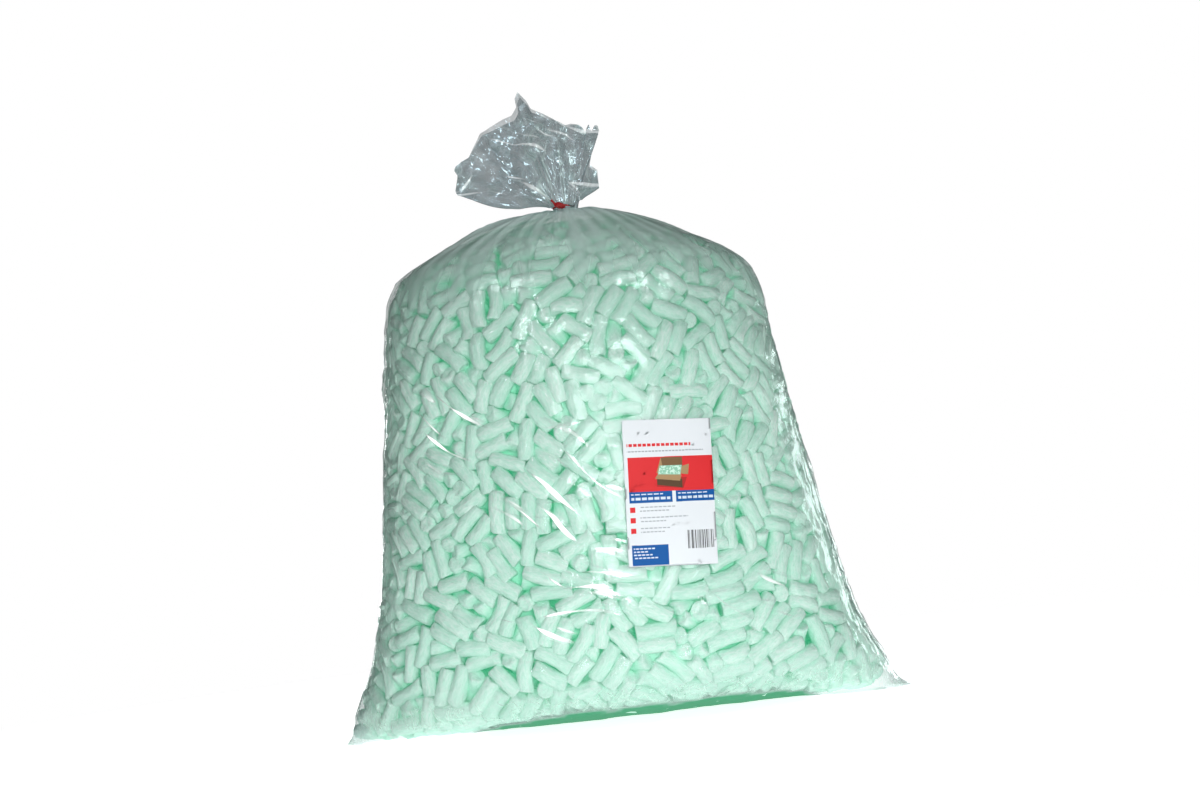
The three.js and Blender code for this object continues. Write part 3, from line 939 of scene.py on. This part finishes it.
def red_plastic():
    """Red plastic skin over wire, a little scuffed."""
    p = Painter("red_tie_skin")
    place = p.node("ShaderNodeTexCoord").out("Object")
    worn = p.noise(place, 700, 3, 0.6)
    color = p.mix((worn - 0.3).clamped(), (0.38, 0.004, 0.006, 1), (0.50, 0.012, 0.012, 1))
    surface = p.node("ShaderNodeBsdfPrincipled", None, {
        "Base Color": color, "Roughness": 0.35 + worn * 0.2, "Normal": p.bump(worn, 0.3, 0.3 * MM),
    })
    return p.show(surface.out())


# ---------------------------------------------------------------- label
LABEL_SIZE = (90 * MM, 147 * MM)
LABEL_AT = (65 * MM, 231 * MM)
LABEL_TURN = math.radians(3.4)


def label_piece(material):
    """A sheet of paper stuck to the front, following the bag, a little cockled."""
    bm = bmesh.new()
    bmesh.ops.create_grid(bm, x_segments=30, y_segments=48, size=0.5, calc_uvs=True)
    layer = bm.loops.layers.uv.verify()
    for face in bm.faces:
        for loop in face.loops:
            loop[layer].uv = (loop.vert.co.x + 0.5, loop.vert.co.y + 0.5)
    c, s = math.cos(LABEL_TURN), math.sin(LABEL_TURN)
    for vert in bm.verts:
        across, along = vert.co.x * LABEL_SIZE[0], vert.co.y * LABEL_SIZE[1]
        x = LABEL_AT[0] + c * across + s * along
        z = LABEL_AT[1] - s * across + c * along
        cockle = 0.5 * math.sin(90 * x + 40 * z) + 0.45 * math.sin(120 * z - 50 * x + 1)
        corner = (4 * vert.co.x * vert.co.y) ** 2
        vert.co = (x, -float(half_depth(x, z)) - (1.0 + 0.5 * cockle + 0.8 * corner) * MM, z)
    bmesh.ops.solidify(bm, geom=bm.faces, thickness=0.2 * MM)
    bmesh.ops.recalc_face_normals(bm, faces=bm.faces)
    return new_piece("contents_sheet", mesh_of(bm, "contents_sheet"), "label", material)


def printed_paper():
    """White paper with plain fields of colour, bars and a little drawing of an open box of chips."""
    p = Painter("printed_paper")
    uv = p.node("ShaderNodeTexCoord").out("UV")
    split = p.node("ShaderNodeSeparateXYZ", None, (uv,))
    u, down = split.out(0), 1 - split.out(1)

    def box(left, right, top, bottom):
        return (u > left) * (u < right) * (down > top) * (down < bottom)

    def outline(*corners):
        """1 inside a shape whose corners go clockwise as seen."""
        inside = None
        for (x0, y0), (x1, y1) in zip(corners, corners[1:] + corners[:1]):
            edge = (down - y0) * (x1 - x0) - (u - x0) * (y1 - y0)
            inside = (edge > 0) if inside is None else inside * (edge > 0)
        return inside

    def words(left, right, top, height, pitch):
        """A line of short bars, as print looks from too far off to read."""
        beat = (u / pitch + top * 37).fraction()
        return box(left, right, top, top + height) * (beat > 0.22)

    color = p.mix(p.noise(uv, 9, 2) * 0.5, (0.80, 0.85, 0.89, 1), (0.84, 0.88, 0.91, 1))
    red, blue, grey = (0.74, 0.025, 0.03, 1), (0.0, 0.095, 0.36, 1), (0.36, 0.40, 0.44, 1)
    pale = (0.70, 0.80, 0.90, 1)
    color = p.mix(words(0.04, 0.76, 0.163, 0.020, 0.052), color, red)
    color = p.mix(words(0.04, 0.90, 0.212, 0.008, 0.038), color, grey)
    color = p.mix(box(0.043, 2, 0.256, 0.491), color, red)
    color = p.mix(box(0.043, 0.525, 0.491, 0.567) | box(0.565, 2, 0.491, 0.567), color, blue)
    color = p.mix(box(0.045, 0.452, 0.853, 0.99), color, blue)
    for top, right, height in ((0.505, 0.42, 0.008), (0.530, 0.50, 0.018)):
        color = p.mix(words(0.065, right, top, height, 0.07), color, pale)
        color = p.mix(words(0.59, right + 0.5, top, height, 0.06), color, pale)
    for top, right in ((0.872, 0.30), (0.893, 0.22), (0.914, 0.27), (0.935, 0.33)):
        color = p.mix(words(0.065, right, top, 0.009, 0.045), color, pale)
    for top, long, short in ((0.595, 0.55, 0.49), (0.666, 0.69, 0.44), (0.738, 0.48, 0.42)):
        color = p.mix(box(0.045, 0.103, top, top + 0.036), color, red)
        color = p.mix(words(0.155, long, top - 0.002, 0.007, 0.05), color, grey)
        color = p.mix(words(0.155, short, top + 0.023, 0.007, 0.043), color, grey)
    stripes = p.node("ShaderNodeTexNoise", {"noise_dimensions": "1D"}, {
        "W": u, "Scale": 95.0, "Detail": 0.0}).out("Fac")
    color = p.mix(box(0.665, 0.965, 0.763, 0.888) * (stripes > 0.5), color, (0.03, 0.03, 0.035, 1))
    tan, brown, dark = (0.42, 0.27, 0.13, 1), (0.20, 0.115, 0.05, 1), (0.10, 0.055, 0.025, 1)
    shade, green = (0.45, 0.02, 0.02, 1), (0.30, 0.62, 0.45, 1)
    color = p.mix(outline((0.36, 0.40), (0.70, 0.40), (0.655, 0.475), (0.36, 0.46)), color, shade)
    color = p.mix(outline((0.415, 0.262), (0.655, 0.262), (0.655, 0.33), (0.415, 0.33)), color, brown)
    color = p.mix(outline((0.415, 0.262), (0.43, 0.32), (0.385, 0.372), (0.36, 0.368)), color, tan)
    color = p.mix(outline((0.65, 0.325), (0.73, 0.312), (0.715, 0.382), (0.635, 0.378)), color, tan)
    color = p.mix(outline((0.36, 0.40), (0.645, 0.41), (0.645, 0.472), (0.365, 0.448)), color, dark)
    color = p.mix(outline((0.40, 0.318), (0.65, 0.318), (0.63, 0.385), (0.375, 0.378)), color, green)
    heap = p.noise(p.stretched(uv, (0.62, 1.0, 1.0)), 60, 1)
    color = p.mix(outline((0.40, 0.32), (0.64, 0.32), (0.62, 0.38), (0.38, 0.375)) * (heap > 0.52),
                  color, (0.66, 0.90, 0.78, 1))
    color = p.mix(outline((0.37, 0.378), (0.64, 0.385), (0.62, 0.425), (0.34, 0.408)), color, tan)
    grain = p.noise(uv, 420, 2, 0.7)
    surface = p.node("ShaderNodeBsdfPrincipled", None, {
        "Base Color": color, "Roughness": 0.5 + grain * 0.15, "Specular IOR Level": 0.25,
        "Normal": p.bump(grain, 0.12, 0.2 * MM),
    })
    return p.show(surface.out())


# ---------------------------------------------------------------- assembling
rng = np.random.default_rng(SEED)
room = Room()
rounds = PACKING_ROUNDS
places, ways, lengths = pack_chips(room, rng, rounds)
outer = room.look(places, room.walls)[0] < OUTER_LAYER
packed = ~outer
starch_material = starch()
inner_chips = chips_piece(
    "inner_chips", rng, room, places[packed], ways[packed], lengths[packed], PLAIN_CHIP, starch_material
)
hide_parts("packed_chips")


def quarter_of(x, y):
    """0 to 3: which side of the bag a place is nearest to."""
    angle = np.arctan2(y / WIDEST_TOP[2], (x + WIDEST_TOP[4]) / WIDEST_TOP[1])
    return ((angle + 2.25 * np.pi) // (np.pi / 2)).astype(int) % 4


loose_nodes = [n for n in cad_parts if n.startswith("loose_chip")]
middles = np.array([np.mean(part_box(n), axis=0) for n in loose_nodes])
node_quarters = quarter_of(middles[:, 0], middles[:, 1])
quarters = quarter_of(places[:, 0], places[:, 1])
outer_pieces = []
for q, side_name in enumerate(("right", "back", "left", "front")):
    here = outer & (quarters == q)
    name = side_name + "_chips"
    piece = chips_piece(
        name, rng, room, places[here], ways[here], lengths[here], SEEN_CHIP, starch_material
    )
    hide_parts(*[n for n, k in zip(loose_nodes, node_quarters) if k == q])
    outer_pieces.append(piece)

clear_bag = film_piece(outer_pieces, rng, clear_film())
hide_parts("bag_film")
red_tie = tie_piece(red_plastic())
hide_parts("neck_tie")
sheet = label_piece(printed_paper())
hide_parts("contents_label")


CAMERA_PLACE, CAMERA_AIM = Vector((0.0052, -1.6, 0.18)), Vector((0.0052, 0, 0.3478))
CAMERA_ROLL = math.radians(-6.17)
CAMERA_LENS = 43.17
WORLD_LIGHT, WORLD_SEEN = 0.06, 1.0  # how bright the room is as light and as backdrop


def stage_and_camera():
    """A pale floor that fades into a white backdrop, a low soft key light and a few small lamps whose
    reflections give the film glints besides the painted ones."""
    scene = bpy.context.scene
    scene.view_settings.view_transform = "Standard"
    bm = bmesh.new()
    bmesh.ops.create_grid(bm, x_segments=1, y_segments=1, size=12)
    floor = bpy.data.objects.new("floor", mesh_of(bm, "floor"))
    scene.collection.objects.link(floor)
    p = Painter("pale_floor")
    place = p.node("ShaderNodeTexCoord").out("Object")
    far = p.node("ShaderNodeVectorMath", {"operation": "LENGTH"}, (place,)).out("Value")
    seen = p.node("ShaderNodeLightPath").out("Is Camera Ray")
    near = p.node("ShaderNodeBsdfPrincipled", None, {
        "Base Color": (0.8, 0.8, 0.8, 1), "Roughness": 0.6,
        "Emission Color": (1, 1, 1, 1), "Emission Strength": 0.75 + seen * 0.1}).out()
    white = p.node("ShaderNodeEmission", None, {"Strength": 0.2 + seen * 0.8}).out()
    floor.data.materials.append(p.show(
        p.node("ShaderNodeMixShader", None, (((far - 0.35) / 0.9).clamped(), near, white)).out()
    ))
    world = bpy.data.worlds.new("studio")
    world.use_nodes = True
    tree = world.node_tree
    seen = tree.nodes.new("ShaderNodeLightPath").outputs["Is Camera Ray"]
    strength = tree.nodes.new("ShaderNodeMapRange")
    strength.inputs["To Min"].default_value = WORLD_LIGHT
    strength.inputs["To Max"].default_value = WORLD_SEEN
    tree.links.new(seen, strength.inputs["Value"])
    tree.nodes["Background"].inputs["Color"].default_value = (1, 1, 1, 1)
    tree.links.new(strength.outputs["Result"], tree.nodes["Background"].inputs["Strength"])
    scene.world = world

    def lamp(name, place, aim, size, power):
        data = bpy.data.lights.new(name, "AREA")
        data.shape, data.size, data.energy = "SQUARE", size, power
        made = bpy.data.objects.new(name, data)
        made.location = place
        made.rotation_euler = (Vector(aim) - Vector(place)).to_track_quat("-Z", "Y").to_euler()
        scene.collection.objects.link(made)

    lamp("key", (0.24, -1.5, 0.12), (0, 0, 0.04), 0.7, 15)
    lamp("fill", (-1.9, -1.7, 0.9), (0, 0, 0.3), 0.4, 0.7)
    lamp("glint_right", (0.9, -1.5, 1.5), (0, 0, 0.4), 0.14, 3.5)
    lamp("glint_left", (-0.9, -1.4, 1.6), (0, 0, 0.4), 0.14, 2.5)
    lamp("glint_low", (-0.6, -1.7, 0.75), (0, 0, 0.3), 0.15, 2.0)
    lamp("back", (-0.6, 1.9, 0.35), (0, 0, 0.2), 0.9, 20)
    lamp("side", (1.8, 1.2, 0.35), (0, 0, 0.2), 0.7, 8)
    lamp("top", (0, 0.1, 2.2), (0, 0, 0.4), 0.7, 2.2)

    data = bpy.data.cameras.new("camera")
    data.sensor_width = 36
    data.lens = CAMERA_LENS
    camera = bpy.data.objects.new("camera", data)
    scene.collection.objects.link(camera)
    turn = (CAMERA_AIM - CAMERA_PLACE).to_track_quat("-Z", "Y").to_matrix()
    camera.rotation_euler = (turn @ Matrix.Rotation(CAMERA_ROLL, 3, "Z")).to_euler()
    camera.location = CAMERA_PLACE
    scene.camera = camera


stage_and_camera()
